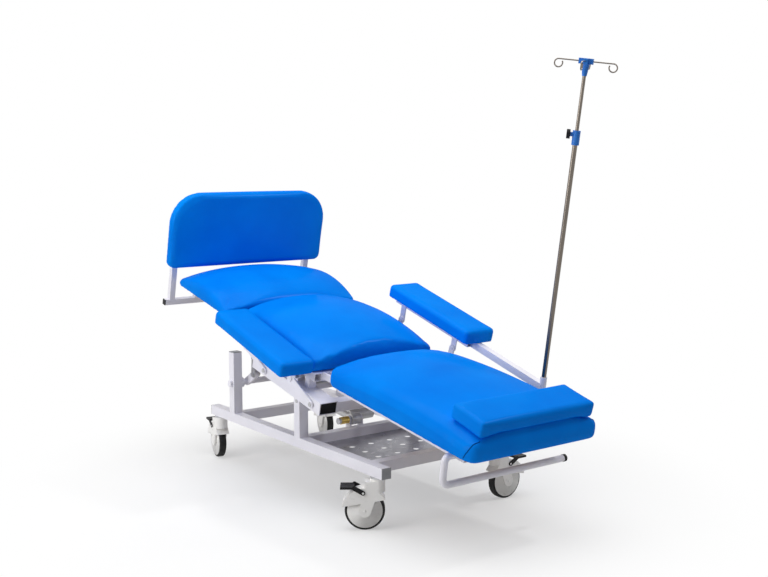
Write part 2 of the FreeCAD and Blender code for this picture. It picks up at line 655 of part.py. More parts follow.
# Back section
back_arm_at = along((BACK_U, BACK_W), BACK_ARM_ANGLE, BACK_ARM)
back_body, back_rod = actuator((BACK_ACT_U, BACK_ACT_W), (back_arm_at[0], BACK_ACT_W),
                               BACK_ACT_X, BACK_STROKE, -1)
keep("back_rod", seat(back_rod))

back_frame = both_sides(tube(BACK_RAIL_IN, BACK_RAIL_OUT, BACK_RAIL_P[0], BACK_RAIL_P[1],
                             BACK_RAIL_LOW, BACK_BOARD_LOW, 1))
for p in (BACK_BAR_P, BACK_RAIL_P[1] - BAR):
    back_frame.append(tube(-BACK_RAIL_IN, BACK_RAIL_IN, p, p + BAR, BACK_RAIL_LOW, BACK_BOARD_LOW, 0))
hinge_ear = link((0, 0), (BACK_BAR_P + BAR, BACK_RAIL_LOW / 2), EAR_R,
                 BACK_RAIL_OUT, BACK_RAIL_OUT + HINGE_EAR)
hinge_ear = hinge_ear.cut(box(0, BEAM_OUT, BACK_PAD_P[0] - GAP, 2 * BAR + EAR_R, BACK_BOARD_LOW, EAR_R))
back_frame += both_sides(hinge_ear.cut(rod_x(0, 0, HINGE_PIN_R + RUN, 0, BEAM_OUT)))
arm_local = along((0, 0), BACK_ARM_ANGLE - BACK_RAISE, BACK_ARM)
back_arm = link(arm_local, (BACK_BAR_P + BAR / 2, BACK_RAIL_LOW - LEVER_HALF), CRANK_R,
                BACK_ACT_X - LEVER_HALF, BACK_ACT_X + LEVER_HALF)
back_arm = back_arm.cut(box(-BEAM_OUT, BEAM_OUT, BACK_BAR_P, BACK_BAR_P + 2 * BAR, BACK_RAIL_LOW, 0))
back_arm = back_arm.cut(rod_x(arm_local[0], arm_local[1], LINK_PIN_R + OPEN_GAP, -BEAM_OUT, BEAM_OUT))
back_frame.append(back_arm)
keep("back_frame", *[back(f) for f in back_frame])
back_board, back_pad = padded_panel(BACK_HALF, BACK_PAD_P[0], BACK_PAD_P[1], BACK_BOARD_LOW,
                                    BACK_SIDE, BACK_BOW, BACK_CROWN, BACK_END_R)
keep("back_board", back(back_board))
keep("back_pad", back(back_pad))
cushion = box(-CUSHION_HALF, CUSHION_HALF, CUSHION_P[0], CUSHION_P[1], CUSHION_Q[0], CUSHION_Q[1])
cushion = cushion.makeFillet(CUSHION_SOFT, cushion.Edges)
cushion = spin(cushion, (CUSHION_P[1], CUSHION_Q[0]), -CUSHION_SLOPE)
keep("head_cushion", back(cushion.cut(back_pad)))

# Bar for the paper sheet roll, hung from the left back rail at the head end
roll_middle = (BACK_RAIL_LOW + BACK_BOARD_LOW) / 2


def bar_point(x, q):
    return V(x, ROLL_BAR_P, q)


def bar_arc(centre_x, centre_q, radius, from_deg, to_deg):
    points = [along((centre_x, centre_q), a, radius) for a in (from_deg, (from_deg + to_deg) / 2, to_deg)]
    return [bar_point(x, q) for x, q in points]


top_bend = bar_arc(ROLL_BAR_OUT - ROLL_TOP_R, roll_middle - ROLL_TOP_R, ROLL_TOP_R, QUARTER, 0)
low_bend = bar_arc(ROLL_BAR_OUT - ROLL_LOW_R, ROLL_BAR_LOW + ROLL_LOW_R, ROLL_LOW_R, 0, -QUARTER)
bar_start = bar_point(BACK_RAIL_OUT, roll_middle)
bar_end = bar_point(ROLL_BAR_END, ROLL_BAR_LOW)
bar_path = Part.Wire([
    Part.makeLine(bar_start, top_bend[0]),
    Part.Arc(top_bend[0], top_bend[1], top_bend[2]).toShape(),
    Part.makeLine(top_bend[2], low_bend[0]),
    Part.Arc(low_bend[0], low_bend[1], low_bend[2]).toShape(),
    Part.makeLine(low_bend[2], bar_end),
])
bar_ring = Part.Wire(Part.makeCircle(ROLL_BAR_R, bar_start, V(1, 0, 0)))
roll_bar = bar_path.makePipeShell([bar_ring], True, False)
keep("roll_bar", back(roll_bar))
bar_cap = Part.makeCylinder(ROLL_BAR_R + OVER, CAP_PLUG, bar_end, V(-1, 0, 0))
keep("roll_bar_cap", back(bar_cap))

# Leg section
leg_arm_at = along((LEG_U, LEG_W), LEG_ARM_ANGLE, LEG_ARM)
leg_body, leg_rod = actuator((LEG_ACT_U, LEG_ACT_W), (leg_arm_at[0], LEG_ACT_W), LEG_ACT_X, LEG_STROKE, 1)
keep("seat_actuators", seat(back_body), seat(leg_body))
keep("leg_rod", seat(leg_rod))
leg_frame = both_sides(tube(BACK_RAIL_IN, BACK_RAIL_OUT, LEG_RAIL_U[0], LEG_RAIL_U[1],
                            LEG_RAIL_LOW, LEG_BOARD_LOW, 1, LEG_WALL))
leg_frame.append(tube(-BACK_RAIL_IN, BACK_RAIL_IN, LEG_RAIL_U[1] - BAR, LEG_RAIL_U[1],
                      LEG_RAIL_LOW, LEG_BOARD_LOW, 0))
leg_hinge = link((LEG_U, LEG_W), (LEG_RAIL_U[1] - BAR, LEG_RAIL_LOW + EAR_R), EAR_R / 2 + CAP_LIP,
                 BACK_RAIL_OUT, BACK_RAIL_OUT + HINGE_EAR)
leg_frame += both_sides(leg_hinge.cut(rod_x(LEG_U, LEG_W, HINGE_PIN_R + RUN, 0, BEAM_OUT)))
leg_arm = link(leg_arm_at, (LEG_RAIL_U[1] - BAR / 2, LEG_RAIL_LOW - LEVER_HALF), CRANK_R,
               LEG_ACT_X - LEVER_HALF, LEG_ACT_X + LEVER_HALF)
leg_arm = leg_arm.cut(box(-BEAM_OUT, BEAM_OUT, LEG_RAIL_U[0], LEG_U, LEG_RAIL_LOW, LEG_BOARD_LOW))
leg_arm = leg_arm.cut(rod_x(leg_arm_at[0], leg_arm_at[1], LINK_PIN_R + OPEN_GAP, -BEAM_OUT, BEAM_OUT))
leg_frame.append(leg_arm)
keep("leg_frame", *[seat(f) for f in leg_frame])
leg_board, leg_pad = padded_panel(LEG_HALF, LEG_PAD_U[0], LEG_PAD_U[1], LEG_BOARD_LOW,
                                  LEG_SIDE, LEG_BOW, LEG_CROWN, LEG_END_R)
keep("leg_board", seat(leg_board))
keep("leg_pad", seat(leg_pad))

# Foot frame
slide_x = (BACK_RAIL_IN + BACK_RAIL_OUT) / 2
slide_w = (LEG_RAIL_LOW + LEG_BOARD_LOW) / 2
inner = SLIDE_TUBE / 2
foot_frame = both_sides(tube(slide_x - inner, slide_x + inner, FOOT_BAR_U[1], SLIDE_END,
                             slide_w - inner, slide_w + inner, 1))
drop = box(slide_x - FOOT_BAR / 2, slide_x + FOOT_BAR / 2, FOOT_BAR_U[0], FOOT_BAR_U[1],
           FOOT_BAR_LOW + FOOT_BAR, slide_w + inner)
foot_frame += both_sides(drop)
foot_frame.append(tube(-FOOT_BAR_HALF, FOOT_BAR_HALF, FOOT_BAR_U[0], FOOT_BAR_U[1],
                       FOOT_BAR_LOW, FOOT_BAR_LOW + FOOT_BAR, 0))
foot_frame += both_sides(tube(FOOT_UPRIGHT_X - FOOT_BAR / 2, FOOT_UPRIGHT_X + FOOT_BAR / 2,
                              FOOT_BAR_U[0], FOOT_BAR_U[1], FOOT_BAR_LOW + FOOT_BAR, FOOT_UPRIGHT_TOP, 2))
keep("foot_frame", *[seat(f) for f in foot_frame])
foot_cap = box(FOOT_BAR_HALF, FOOT_BAR_HALF + CAP_LIP, FOOT_BAR_U[0], FOOT_BAR_U[1],
               FOOT_BAR_LOW, FOOT_BAR_LOW + FOOT_BAR)
keep("foot_caps", *[seat(c) for c in both_sides(foot_cap)])


def rounded_board(u0, u1):
    low, high = FOOT_PAD_W
    board = box(-FOOT_HALF, FOOT_HALF, u0, u1, low, high)
    corners = [e for e in board.Edges if e.BoundBox.YLength > OVER]
    top = [e for e in corners if e.BoundBox.ZMin > high - OVER]
    board = board.makeFillet(FOOT_TOP_R, top)
    bottom = [e for e in board.Edges if e.BoundBox.YLength > OVER and e.BoundBox.ZMax < low + OVER]
    bottom = [e for e in bottom if e.BoundBox.XLength < OVER]
    return board.makeFillet(FOOT_LOW_R, bottom)


foot_pad = rounded_board(FOOT_PAD_U[0], FOOT_PAD_U[1])
face_edges = [e for e in foot_pad.Edges if e.BoundBox.YMin > FOOT_PAD_U[1] - OVER]
keep("foot_pad", seat(foot_pad.makeFillet(FOOT_SOFT, face_edges)))

# Armrests: two equal swing links and a carrier that stays parallel, on each side
def armrest(side, angle, tag):
    grounds = [(u, ARM_BOLT_W) for u in ARM_BOLT_U]
    tops = [along(g, angle, ARM_LINK) for g in grounds]
    for name, low, top in (("rear", grounds[0], tops[0]), ("front", grounds[1], tops[1])):
        swing = link(low, top, ARM_LINK_R, ARM_LINK_X, ARM_LINK_X + ARM_PLATE)
        for at in (low, top):
            swing = swing.cut(rod_x(at[0], at[1], ARM_PIN_R + RUN, 0, ARM_PAD_X[1]))
        keep("armrest_" + name + "_link_" + tag, on_side(swing, side))
    lug_x = ARM_LINK_X + ARM_PLATE + GAP
    tube_x = lug_x + ARM_PLATE
    rear = tops[0]
    bar = tube(tube_x, tube_x + ARM_TUBE, rear[0] + ARM_TUBE_END[0], rear[0] + ARM_TUBE_END[1],
               rear[1] + ARM_PAD_LOW - ARM_TUBE, rear[1] + ARM_PAD_LOW, 1)
    pieces = [spin(bar, rear, -ARM_SLOPE)]
    for top in tops:
        rise = ARM_PAD_LOW + (rear[0] - top[0]) * math.tan(math.radians(ARM_SLOPE)) - ARM_TUBE / 2
        ear_piece = link(top, (top[0], top[1] + rise), ARM_LINK_R, lug_x, tube_x)
        ear_piece = ear_piece.fuse(rod_x(top[0], top[1], ARM_PIN_R, ARM_LINK_X - CAP_LIP, lug_x))
        ear_piece = ear_piece.fuse(rod_x(top[0], top[1], ARM_PIN_R + CAP_LIP / 2,
                                         ARM_LINK_X - CAP_LIP, ARM_LINK_X - GAP))
        pieces.append(ear_piece.removeSplitter())
    above = spin(box(0, ARM_PAD_X[1], rear[0] + 2 * ARM_PAD_END[0], rear[0] + 2 * ARM_PAD_END[1],
                     rear[1] + ARM_PAD_LOW, rear[1] + ARM_PAD_LOW + ARM_PAD_THICK), rear, -ARM_SLOPE)
    pieces = [piece.cut(above) for piece in pieces]
    keep("armrest_carrier_" + tag, *[on_side(piece, side) for piece in pieces])
    pad = box(ARM_PAD_X[0], ARM_PAD_X[1], rear[0] + ARM_PAD_END[0], rear[0] + ARM_PAD_END[1],
              rear[1] + ARM_PAD_LOW, rear[1] + ARM_PAD_LOW + ARM_PAD_THICK)
    low = rear[1] + ARM_PAD_LOW
    pad = pad.makeFillet(ARM_PAD_SOFT, [e for e in pad.Edges if e.BoundBox.ZMax > low + OVER])
    keep("armrest_pad_" + tag, on_side(spin(pad, rear, -ARM_SLOPE), side))
    return rear


def on_side(shape, side):
    placed = shape if side > 0 else shape.mirror(V(0, 0, 0), V(1, 0, 0))
    return seat(placed)


armrest(1, ARM_ANGLE_LEFT, "left")
right_rear = armrest(-1, ARM_ANGLE_RIGHT, "right")

# Drip pole: arm on the right carrier, socket, lower and upper tubes, clamp collar, hub and hooks
arm_x = -(ARM_LINK_X + 2 * ARM_PLATE + GAP + ARM_TUBE)


def on_carrier(shape):
    return seat(spin(shape, right_rear, -ARM_SLOPE))


arm_low = right_rear[1] + POLE_ARM_LOW
pole_arm = tube(arm_x - POLE_ARM, arm_x, right_rear[0] + POLE_ARM_FAR, right_rear[0] + POLE_ALONG,
                arm_low, arm_low + POLE_ARM, 1)
pole_u = right_rear[0] + POLE_ALONG
pole_x = arm_x - POLE_ARM / 2
arm_mid = arm_low + POLE_ARM / 2
pole_turn = POLE_LEAN + ARM_SLOPE


def pole_frame(shape, heading=0):
    moved = shape.copy()
    moved.rotate(V(0, 0, 0), V(0, 0, 1), heading)
    moved.translate(V(pole_x, pole_u, arm_mid))
    return on_carrier(spin(moved, (pole_u, arm_mid), pole_turn))


socket_low = -SOCKET_LEN / 2
socket = rod_z(0, 0, SOCKET_R, socket_low, -socket_low)
socket_hole = rod_z(0, 0, POLE_R + RUN, socket_low + CAP_LIP, -socket_low + OVER)
passage = pole_frame(rod_z(0, 0, SOCKET_R, socket_low, -socket_low))
keep("pole_arm", on_carrier(pole_arm).cut(passage), pole_frame(socket.cut(socket_hole)))
lower = rod_z(0, 0, POLE_R, socket_low + CAP_LIP, POLE_LOW_LEN)
lower = lower.cut(rod_z(0, 0, POLE_BORE, POLE_IN - POLE_SPARE, POLE_LOW_LEN + OVER))
keep("pole_lower", pole_frame(lower))
collar = rod_z(0, 0, COLLAR_OUT_R, COLLAR_LOW, COLLAR_LOW + COLLAR_LEN)
collar = collar.cut(rod_z(0, 0, POLE_R, COLLAR_LOW - OVER, POLE_LOW_LEN))
collar = collar.cut(rod_z(0, 0, POLE_TOP_R + RUN, COLLAR_LOW, COLLAR_LOW + COLLAR_LEN + OVER))
knob_z = (POLE_LOW_LEN + COLLAR_LOW + COLLAR_LEN) / 2
boss = rod_x(0, knob_z, BOSS_R, POLE_TOP_R + CAP_LIP, COLLAR_OUT_R + BOSS_LEN)
collar = collar.fuse(boss).cut(rod_x(0, knob_z, KNOB_STEM_R + RUN, POLE_TOP_R, COLLAR_OUT_R + KNOB_LEN))
keep("pole_collar", pole_frame(collar.removeSplitter(), KNOB_TURN))
knob_start = COLLAR_OUT_R + BOSS_LEN + GAP
knob = rod_x(0, knob_z, KNOB_R, knob_start, knob_start + KNOB_LEN)
for step in range(KNOB_LOBES):
    notch = along((0, knob_z), step * 360 / KNOB_LOBES, KNOB_R + KNOB_NOTCH_OUT)
    knob = knob.cut(rod_x(notch[0], notch[1], KNOB_NOTCH_R,
                          knob_start - OVER, knob_start + KNOB_LEN + OVER))
knob = knob.fuse(rod_x(0, knob_z, KNOB_STEM_R, POLE_TOP_R + OVER, knob_start))
keep("pole_knob", pole_frame(knob.removeSplitter(), KNOB_TURN))
keep("pole_upper", pole_frame(rod_z(0, 0, POLE_TOP_R, POLE_IN, POLE_TOP_END)))
hub_low = POLE_TOP_END - HUB_LEN
hub = Part.makeCone(POLE_TOP_R + HUB_SKIRT, HUB_R, HUB_LEN, V(0, 0, hub_low), V(0, 0, 1))
for reach, half in ((HUB_REACH, HUB_BAR / 2), (HUB_BAR / 2, HUB_REACH)):
    hub = hub.fuse(box(-reach, reach, -half, half, POLE_TOP_END, POLE_TOP_END + HUB_CAP))
hub = hub.cut(rod_z(0, 0, POLE_TOP_R, hub_low - OVER, POLE_TOP_END)).removeSplitter()
keep("pole_hub", pole_frame(hub, HOOK_TURN))


# One wire hook: straight out from the hub, then a loop that curls back up under the wire
def hook():
    z = POLE_TOP_END + HUB_CAP / 2

    def curl(share):
        turned = math.radians(HOOK_CURL * share)
        return V(HOOK_REACH + HOOK_LOOP * math.sin(turned), 0, z - HOOK_LOOP * (1 - math.cos(turned)))

    loop = [curl(step / HOOK_STEPS) for step in range(HOOK_STEPS + 1)]
    start = V(HUB_REACH, 0, z)
    path = Part.Wire([
        Part.makeLine(start, loop[0]),
        Part.Arc(loop[0], loop[1], loop[2]).toShape(),
        Part.Arc(loop[2], loop[3], loop[4]).toShape(),
    ])
    ring = Part.Wire(Part.makeCircle(HOOK_R, start, V(1, 0, 0)))
    return path.makePipeShell([ring], True, False)


keep("pole_hooks", *[pole_frame(hook(), HOOK_TURN + k * 360 / HOOK_COUNT) for k in range(HOOK_COUNT)])

# Casters, drawn with the wheel trailing along +Y and then turned to their headings
def caster(tag, x, y):
    heading = HEADINGS[tag]
    turn_by = math.degrees(math.atan2(heading[1], heading[0])) - QUARTER

    def place(shape):
        moved = shape.copy()
        moved.rotate(V(0, 0, 0), V(0, 0, 1), turn_by)
        moved.translate(V(x, y, 0))
        return moved

    hood = rod_x(TRAIL, WHEEL_R, HOOD_R, -HOOD_HALF, HOOD_HALF)
    hood = hood.cut(slab(HOOD_CUT, -HOOD_HALF - OVER, HOOD_HALF + OVER))
    crown = rod_z(0, 0, HOOD_HALF, HOOD_BASE, STEM_FLANGE - GAP)
    bridge = box(-HOOD_HALF, HOOD_HALF, 0, TRAIL, HOOD_BASE, STEM_FLANGE - GAP - BRIDGE_DROP)
    hood = hood.multiFuse([crown, bridge]).removeSplitter()
    hood = hood.cut(rod_x(TRAIL, WHEEL_R, HOOD_IN_R, -HOOD_IN_HALF, HOOD_IN_HALF))
    for side in (-HOOD_HALF, HOOD_IN_HALF):
        cheek = HOOD_HALF - HOOD_IN_HALF
        hood = hood.fuse(link((TRAIL, WHEEL_R), (TRAIL / 2, HOOD_BASE), FORK_LEG_R, side, side + cheek))
    hood = hood.cut(rod_x(TRAIL, WHEEL_R, AXLE_R + RUN, -HOOD_HALF - OVER, HOOD_HALF + OVER))
    hood = hood.cut(rod_z(0, 0, STEM_R + RUN, STEM_LOW - GAP, STEM_FLANGE))
    for side in (-HOOD_HALF - PEDAL_EAR, HOOD_HALF):
        hood = hood.fuse(rod_x(PEDAL_Y, PEDAL_Z, PEDAL_PIN_R, side, side + PEDAL_EAR))
    keep("caster_housing_" + tag, place(hood.removeSplitter()))
    hub_solid = rod_x(TRAIL, WHEEL_R, WHEEL_R - TYRE, -HUB_HALF, HUB_HALF)
    hub_solid = hub_solid.fuse(rod_x(TRAIL, WHEEL_R, AXLE_R, -HOOD_HALF, HOOD_HALF)).removeSplitter()
    tread = rod_x(TRAIL, WHEEL_R, WHEEL_R, -TYRE_HALF, TYRE_HALF)
    tread = tread.makeFillet(TYRE_ROUND, [e for e in tread.Edges if isinstance(e.Curve, Part.Circle)])
    tread = tread.cut(rod_x(TRAIL, WHEEL_R, WHEEL_R - TYRE, -TYRE_HALF, TYRE_HALF))
    keep("caster_wheel_" + tag, place(hub_solid), place(tread))
    pedal = box(-HOOD_HALF - GAP - PEDAL_EAR, HOOD_HALF + GAP + PEDAL_EAR, PEDAL_END - PEDAL_LEN, PEDAL_END,
                PEDAL_Z + PEDAL_RISE, PEDAL_Z + PEDAL_RISE + PEDAL_THICK)
    for side in (-HOOD_HALF - GAP - PEDAL_EAR, HOOD_HALF + GAP):
        plate_at = (PEDAL_END - PEDAL_LEN, PEDAL_Z + PEDAL_RISE + PEDAL_THICK / 2)
        pedal = pedal.fuse(link((PEDAL_Y, PEDAL_Z), plate_at, PEDAL_THICK, side, side + PEDAL_EAR))
    pedal = pedal.cut(rod_x(PEDAL_Y, PEDAL_Z, PEDAL_PIN_R + RUN,
                            -HOOD_HALF - CAP_PLUG, HOOD_HALF + CAP_PLUG))
    keep("caster_pedal_" + tag, place(pedal.removeSplitter()))


stems = []
for tag, x, y in (("near_left", RAIL_X, CASTER_Y), ("far_left", RAIL_X, -CASTER_Y),
                  ("near_right", -RAIL_X, CASTER_Y), ("far_right", -RAIL_X, -CASTER_Y)):
    caster(tag, x, y)
    stem = rod_z(x, y, STEM_R, STEM_LOW, RAIL_TOP - WALL - OVER)
    stems.append(stem.fuse(rod_z(x, y, HOOD_HALF, STEM_FLANGE, RAIL_BOTTOM)).removeSplitter())
nodes["base_pins"] += stems

# Put the origin on the floor under the middle of the whole chair and write every node
everything = Part.makeCompound([shape for group in nodes.values() for shape in group])
everything = everything.optimalBoundingBox(False, False)
SHIFT = V(-everything.Center.x, -everything.Center.y, -everything.ZMin)
for name, group in nodes.items():
    for shape in group:
        shape.translate(SHIFT)
    whole = group[0] if len(group) == 1 else Part.makeCompound(group)
    whole.exportStep("parts/" + name + ".step")
print("nodes", len(nodes), "shift", SHIFT, "box", everything)
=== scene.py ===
import json
import math

import bmesh
import bpy
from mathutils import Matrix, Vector
from mathutils.bvhtree import BVHTree


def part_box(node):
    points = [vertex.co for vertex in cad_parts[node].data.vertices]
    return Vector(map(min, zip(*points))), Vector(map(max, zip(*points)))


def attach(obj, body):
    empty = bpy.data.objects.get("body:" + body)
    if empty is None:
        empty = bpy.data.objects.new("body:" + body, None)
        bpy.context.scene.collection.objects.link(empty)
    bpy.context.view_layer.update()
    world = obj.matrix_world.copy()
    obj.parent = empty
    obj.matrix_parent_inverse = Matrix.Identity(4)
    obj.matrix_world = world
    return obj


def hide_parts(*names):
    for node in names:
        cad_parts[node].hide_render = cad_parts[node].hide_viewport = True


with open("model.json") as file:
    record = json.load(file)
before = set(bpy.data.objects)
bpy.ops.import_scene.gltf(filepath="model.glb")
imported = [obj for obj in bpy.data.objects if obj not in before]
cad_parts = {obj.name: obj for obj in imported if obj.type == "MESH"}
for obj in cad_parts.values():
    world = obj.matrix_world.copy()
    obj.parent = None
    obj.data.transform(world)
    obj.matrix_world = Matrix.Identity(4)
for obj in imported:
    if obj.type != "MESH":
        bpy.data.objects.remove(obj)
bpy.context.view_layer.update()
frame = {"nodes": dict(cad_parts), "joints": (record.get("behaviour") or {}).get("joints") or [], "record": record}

NODES = frame["nodes"]
SCENE = bpy.context.scene

# Lengths are in metres, and the couch has its head end at +Y


# How the sections lie: tip angles about X, the ways down into their boards, and the hinge of the back
def joint_place(name):
    return Vector(next(joint["pos_m"] for joint in frame["joints"] if joint["name"] == name))


SEAT_TIP = math.radians(12.8)
BACK_TIP = math.radians(8.8)
SEAT_DOWN = Vector((0.0, -math.sin(SEAT_TIP), -math.cos(SEAT_TIP)))
BACK_DOWN = Vector((0.0, -math.sin(BACK_TIP), -math.cos(BACK_TIP)))
BACK_ALONG = Vector((0.0, math.cos(BACK_TIP), -math.sin(BACK_TIP)))
FOOT_REAR = Vector((0.0, -math.cos(SEAT_TIP), math.sin(SEAT_TIP)))
BACK_HINGE = joint_place("back_raise")

# Rigid pieces: the broken edges of square tube, and the angles at which edges are broken or stay sharp
TUBE_EDGE = 0.0022
TUBE_EDGE_SEGMENTS = 2
BROKEN_ANGLE = math.radians(40)
SHARP_ANGLE = math.radians(32)
WHEEL_SHARP_ANGLE = math.radians(35)
WELD = 1e-6

# Soft pads: the cloth run that swells the covers, the smoothing round it, and how tight they are filled
CLOTH_FRAMES = 10
CLOTH_PRESSURE = 1.5
CLOTH_STIFFNESS = 25
CLOTH_QUALITY = 4
SMOOTH_FACTOR = 0.5
EASE_PASSES = 3

# Mitre seams of the back cover: across, along and above the hinge, at the top and at the lower end
SEAM_RADIUS = 0.0016
SEAM_STEPS = 24
SEAM_SIDES = 8
SEAM_TOP = (0.262, 0.846, 0.085)
SEAM_LOW = (0.300, 0.812, 0.004)

# Floor: its size, its greys to the eye and to the light it throws back, and the ring where it turns white
FLOOR_SIZE = 60.0
FLOOR_PALE = (0.93, 0.95)
FLOOR_DIM = (0.68, 0.72)
FLOOR_RING = (0.55, 1.6)
FLOOR_WHITE_MIDDLE = 0.4

# Light: strength of the surroundings, and the lamps with place, target, side length and power in watts
AMBIENT = 0.23
LAMPS = {
    "key": ((0.4, -0.2, 4.2), (0.0, 0.0, 0.5), 3.5, 110.0),
    "fill": ((4.2, -0.6, 1.8), (0.0, 0.0, 0.6), 2.5, 84.0),
    "glint": ((-2.0, 1.6, 3.4), (0.0, 0.4, 0.6), 0.4, 30.0),
}

# Camera fitted to the photograph, with its angles in radians and its lens and sensor in millimetres
CAMERA_AT = Vector((2.5661, 3.5535, 1.3260))
CAMERA_YAW = -0.644
CAMERA_PITCH = 0.119
CAMERA_LENS = 51.35
CAMERA_SENSOR = 36.0

# Colour sockets of the mix node
MIX_FIRST = 6
MIX_SECOND = 7
MIX_RESULT = 2


# Materials
def grey(value):
    return (value, value, value)


def node_tree(name):
    material = bpy.data.materials.new(name)
    material.use_nodes = True
    tree = material.node_tree
    return material, tree, tree.nodes["Principled BSDF"]


def noise(tree, place, scale, detail):
    texture = tree.nodes.new("ShaderNodeTexNoise")
    texture.inputs["Scale"].default_value = scale
    texture.inputs["Detail"].default_value = detail
    tree.links.new(place.outputs["Object"], texture.inputs["Vector"])
    return texture.outputs["Fac"]


def ramp(tree, source, low, high, start=0.3, stop=0.7):
    band = tree.nodes.new("ShaderNodeValToRGB")
    band.color_ramp.elements[0].position = start
    band.color_ramp.elements[1].position = stop
    band.color_ramp.elements[0].color = (*low, 1)
    band.color_ramp.elements[1].color = (*high, 1)
    tree.links.new(source, band.inputs["Fac"])
    return band.outputs["Color"]


def two_inputs(tree, kind, first, second):
    both = tree.nodes.new("ShaderNodeMath")
    both.operation = kind
    tree.links.new(first, both.inputs[0])
    tree.links.new(second, both.inputs[1])
    return both.outputs["Value"]


def bump(tree, shader, height, strength, distance):
    lift = tree.nodes.new("ShaderNodeBump")
    lift.inputs["Strength"].default_value = strength
    lift.inputs["Distance"].default_value = distance
    tree.links.new(height, lift.inputs["Height"])
    tree.links.new(lift.outputs["Normal"], shader.inputs["Normal"])


def set_gloss(shader, metal, gloss, coat, coat_rough):
    shader.inputs["Metallic"].default_value = metal
    shader.inputs["Specular IOR Level"].default_value = gloss
    shader.inputs["Coat Weight"].default_value = coat
    shader.inputs["Coat Roughness"].default_value = coat_rough


def surface(name, low, high, rough, metal=0.0, scale=9.0, grain=0.0, grain_scale=600.0, coat=0.0, gloss=0.5):
    material, tree, shader = node_tree(name)
    place = tree.nodes.new("ShaderNodeTexCoord")
    clouds = noise(tree, place, scale, detail=4.0)
    tree.links.new(ramp(tree, clouds, low, high), shader.inputs["Base Color"])
    smear = noise(tree, place, scale * 3.0, detail=5.0)
    tree.links.new(ramp(tree, smear, grey(rough[0]), grey(rough[1])), shader.inputs["Roughness"])
    set_gloss(shader, metal, gloss, coat, coat_rough=0.15)
    if grain:
        fine = noise(tree, place, grain_scale, detail=3.0)
        bump(tree, shader, fine, strength=grain, distance=0.0006)
    return material


def leather(name, low, high):
    material, tree, shader = node_tree(name)
    place = tree.nodes.new("ShaderNodeTexCoord")
    clouds = noise(tree, place, scale=5.0, detail=5.0)
    tree.links.new(ramp(tree, clouds, low, high), shader.inputs["Base Color"])
    cells = tree.nodes.new("ShaderNodeTexVoronoi")
    cells.feature = "DISTANCE_TO_EDGE"
    cells.inputs["Scale"].default_value = 420.0
    tree.links.new(place.outputs["Object"], cells.inputs["Vector"])
    creases = ramp(tree, cells.outputs["Distance"], grey(0.0), grey(0.7), start=0.0, stop=0.12)
    pores = noise(tree, place, scale=900.0, detail=3.0)
    bump(tree, shader, two_inputs(tree, "ADD", creases, pores), strength=0.10, distance=0.0005)
    wear = noise(tree, place, scale=14.0, detail=6.0)
    tree.links.new(ramp(tree, wear, grey(0.38), grey(0.50)), shader.inputs["Roughness"])
    set_gloss(shader, metal=0.0, gloss=0.0, coat=0.055, coat_rough=0.22)
    return material


LEATHER = leather("blue_leather", (0.001, 0.192, 0.80), (0.001, 0.236, 0.875))
# Dark blue for the seam tubes: painted shade in the creases of the mitre seams, not a thread colour
SEAM_SHADE = leather("seam_shade_leather", (0.001, 0.035, 0.20), (0.001, 0.055, 0.28))
PAINT = surface("frame_paint", (0.82, 0.805, 0.87), (0.88, 0.865, 0.93), (0.32, 0.44), scale=6.0, grain=0.10)
SHEET = surface("tray_sheet", (0.30, 0.30, 0.34), (0.42, 0.42, 0.47), (0.25, 0.40),
                metal=0.7, scale=14.0, grain=0.05)
ZINC = surface("zinc_steel", (0.42, 0.42, 0.43), (0.58, 0.58, 0.60), (0.28, 0.45),
               metal=0.9, scale=40.0, grain=0.05)
CHROME = surface("pole_steel", (0.155, 0.135, 0.116), (0.175, 0.153, 0.131), (0.22, 0.27),
                 metal=1.0, scale=20.0)
ALLOY = surface("motor_alloy", (0.52, 0.52, 0.52), (0.66, 0.66, 0.66), (0.40, 0.55),
                metal=0.5, scale=25.0, grain=0.15)
BRASS = surface("brass", (0.62, 0.43, 0.10), (0.78, 0.56, 0.16), (0.25, 0.40), metal=0.9, scale=40.0)
BLACK = surface("black_plastic", (0.006, 0.006, 0.007), (0.014, 0.014, 0.015), (0.38, 0.55),
                scale=30.0, grain=0.15, gloss=0.15)
GREY = surface("grey_plastic", (0.26, 0.27, 0.28), (0.34, 0.35, 0.36), (0.40, 0.55), scale=30.0, grain=0.15)
WHITE = surface("caster_white", (0.90, 0.885, 0.86), (0.95, 0.935, 0.91), (0.25, 0.38),
                scale=18.0, grain=0.04, coat=0.2)
TYRE = surface("tyre_rubber", (0.012, 0.012, 0.013), (0.030, 0.029, 0.029), (0.55, 0.72),
               scale=40.0, grain=0.25, gloss=0.2)
WOOD = surface("plywood", (0.30, 0.17, 0.08), (0.44, 0.28, 0.15), (0.55, 0.70),
               scale=8.0, grain=0.2, grain_scale=240.0)
BLUE = surface("blue_plastic", (0.02, 0.17, 0.62), (0.045, 0.25, 0.76), (0.28, 0.42),
               scale=25.0, grain=0.06, gloss=0.25)

SLOT_MATERIAL = {
    "frame_paint": PAINT, "tray_sheet": SHEET, "grey_cap": GREY, "black_plastic": BLACK, "zinc_steel": ZINC,
    "brass": BRASS, "motor_alloy": ALLOY, "rod_steel": CHROME, "plywood": WOOD, "pole_steel": CHROME,
    "blue_plastic": BLUE, "caster_white": WHITE,
}


# Rigid nodes keep their solids and get a material, smooth shading and, on square tube, a fine edge radius
def smooth_shaded(mesh):
    for face in mesh.polygons:
        face.use_smooth = True


def dress(node, material, edge_radius):
    piece = NODES[node]
    piece.data.materials.clear()
    piece.data.materials.append(material)
    if edge_radius:
        edge = piece.modifiers.new("edge", "BEVEL")
        edge.width = edge_radius
        edge.segments = TUBE_EDGE_SEGMENTS
        edge.limit_method = "ANGLE"
        edge.angle_limit = BROKEN_ANGLE
        edge.harden_normals = True
    smooth_shaded(piece.data)
    piece.data.set_sharp_from_angle(angle=SHARP_ANGLE)


